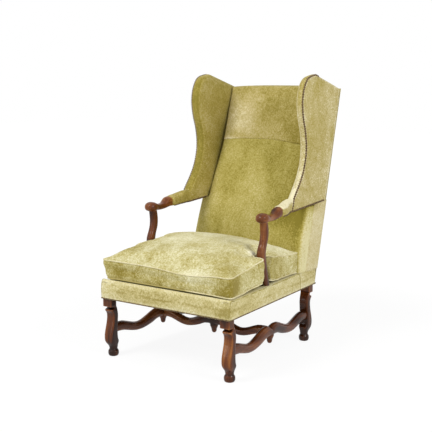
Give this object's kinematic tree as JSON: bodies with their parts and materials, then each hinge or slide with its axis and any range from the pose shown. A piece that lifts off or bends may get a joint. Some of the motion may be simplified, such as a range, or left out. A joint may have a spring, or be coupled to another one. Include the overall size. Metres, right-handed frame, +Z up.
{
  "type": "wingback armchair",
  "caption": "High-backed wing armchair with carved wave stretchers, open arms and a loose seat cushion, upholstered in velvet.",
  "frame": {"origin": "on the floor, in the middle of the chair's width and depth", "axes": "+Z up, the chair faces -Y, +X to the right seen from the front"},
  "size_m": [0.652, 0.954, 1.185],
  "materials": {
    "walnut": "waxed dark walnut, satin to glossy",
    "beech": "raw, unpolished",
    "velvet": "mottled olive-green velvet, worn nap",
    "jute": "woven jute",
    "spring_steel": "drawn wire",
    "nailed_trim": "dark bronzed nail heads on braid",
    "black_cambric": "matt cotton",
    "feather_filling": "ticking"
  },
  "bodies": {
    "frame": {"front_leg_left": "walnut", "front_leg_right": "walnut", "rear_leg_left": "walnut", "rear_leg_right": "walnut", "side_stretcher_left": "walnut", "side_stretcher_right": "walnut", "cross_stretcher": "walnut", "arm_left": "walnut", "arm_right": "walnut", "arm_post_left": "walnut", "arm_post_right": "walnut", "front_rail": "beech", "rear_rail": "beech", "side_rail_left": "beech", "side_rail_right": "beech", "corner_blocks": "beech", "back_top_rail": "beech", "back_mid_rail": "beech", "back_bottom_rail": "beech", "wing_board_left": "beech", "wing_board_right": "beech", "seat_webbing": "jute", "seat_springs": "spring_steel", "seat_hessian": "jute", "seat_pad": "velvet", "seat_band_front": "velvet", "seat_band_left": "velvet", "seat_band_right": "velvet", "trim_front": "nailed_trim", "trim_left": "nailed_trim", "trim_right": "nailed_trim", "trim_rear": "nailed_trim", "dust_cover": "black_cambric", "back_webbing": "jute", "back_pad_lower": "velvet", "back_pad_upper": "velvet", "back_cover": "velvet", "back_side_left": "velvet", "back_side_right": "velvet", "arm_pad_left": "velvet", "arm_pad_right": "velvet", "wing_pad_left": "velvet", "wing_pad_right": "velvet", "wing_cover_left": "velvet", "wing_cover_right": "velvet", "wing_trim_left": "nailed_trim", "wing_trim_right": "nailed_trim"},
    "cushion": {"cushion_cover": "velvet", "cushion_filling": "feather_filling", "cushion_piping": "velvet"}
  },
  "joints": [
    {"name": "cushion_lift", "type": "slide", "parent": "frame", "child": "cushion", "axis": [0, 0, 1], "range_m": [0, 0.06]}
  ]
}
